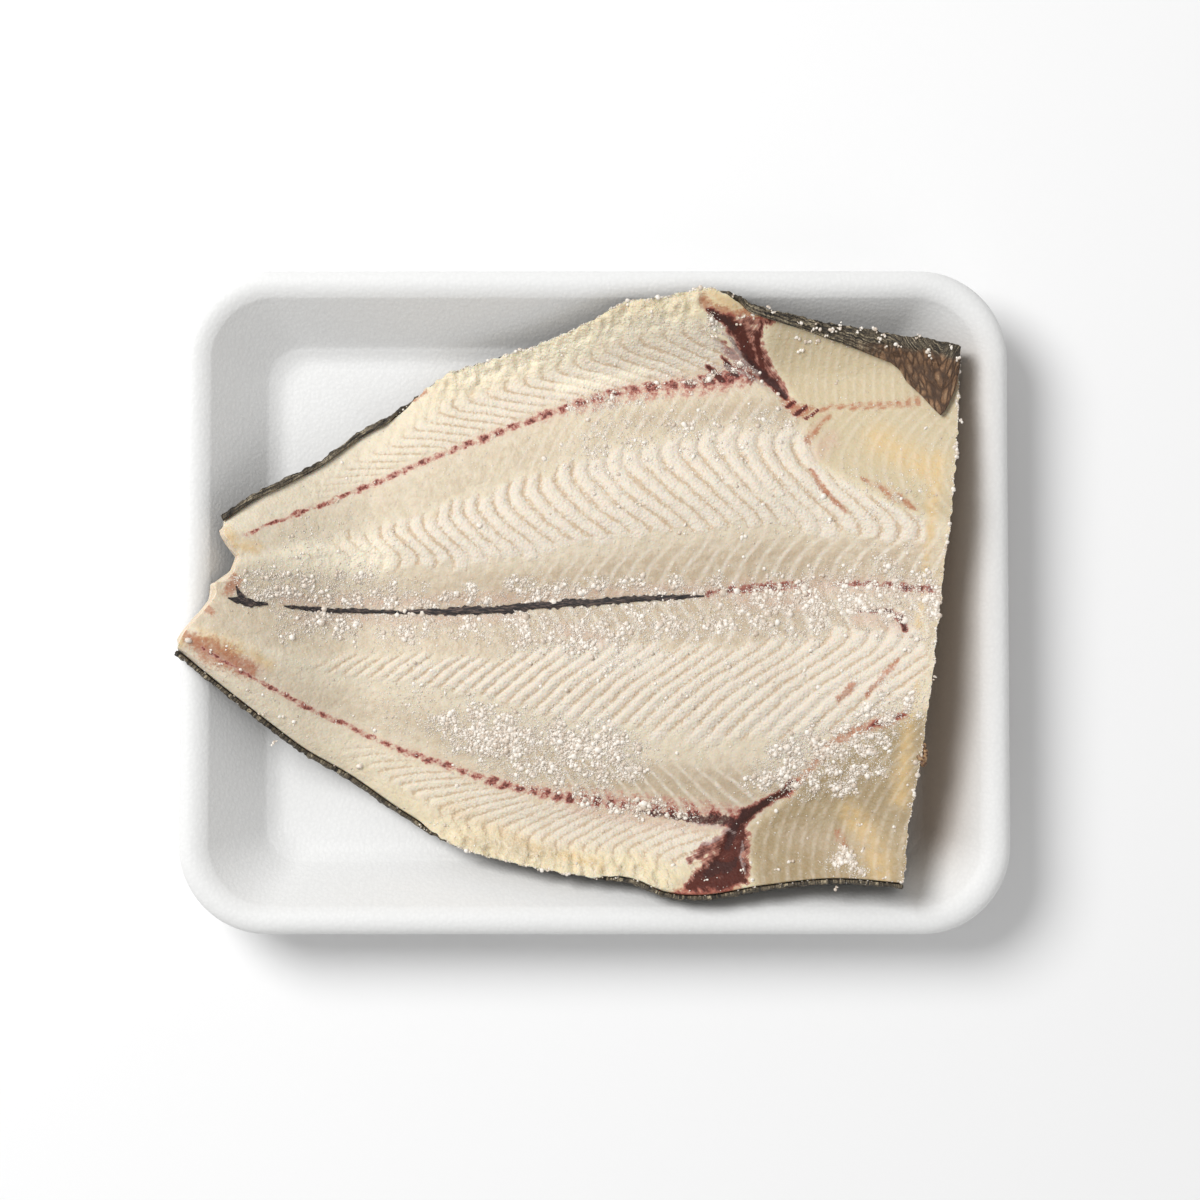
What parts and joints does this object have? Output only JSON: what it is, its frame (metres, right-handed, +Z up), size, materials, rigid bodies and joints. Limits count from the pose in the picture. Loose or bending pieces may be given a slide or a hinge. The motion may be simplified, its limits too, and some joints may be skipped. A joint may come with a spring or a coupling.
{
  "type": "salt cod piece in a foam tray",
  "caption": "Split, skin-on piece of salt cod from the tail end, laid flesh side up across a shallow white foam tray with sloping walls and a rounded rim.",
  "frame": {"origin": "centre of the tray's flat underside", "axes": "+X along the tray's length towards the straight cut end of the fish, +Y towards the edge where the skin is folded over the top, +Z up"},
  "size_m": [0.281, 0.2246, 0.0401],
  "materials": {
    "foam": "white expanded foam with a fine bead grain, satin",
    "flesh": "dried, salted flesh, cream to amber, slightly moist",
    "skin": "dark grey-brown fish skin, satin, wrinkled",
    "membrane": "black fibrous membrane, satin"
  },
  "bodies": {
    "root": {"tray": "foam", "cod_flesh": "flesh", "cod_skin": "skin", "centre_membrane": "membrane"}
  },
  "joints": []
}
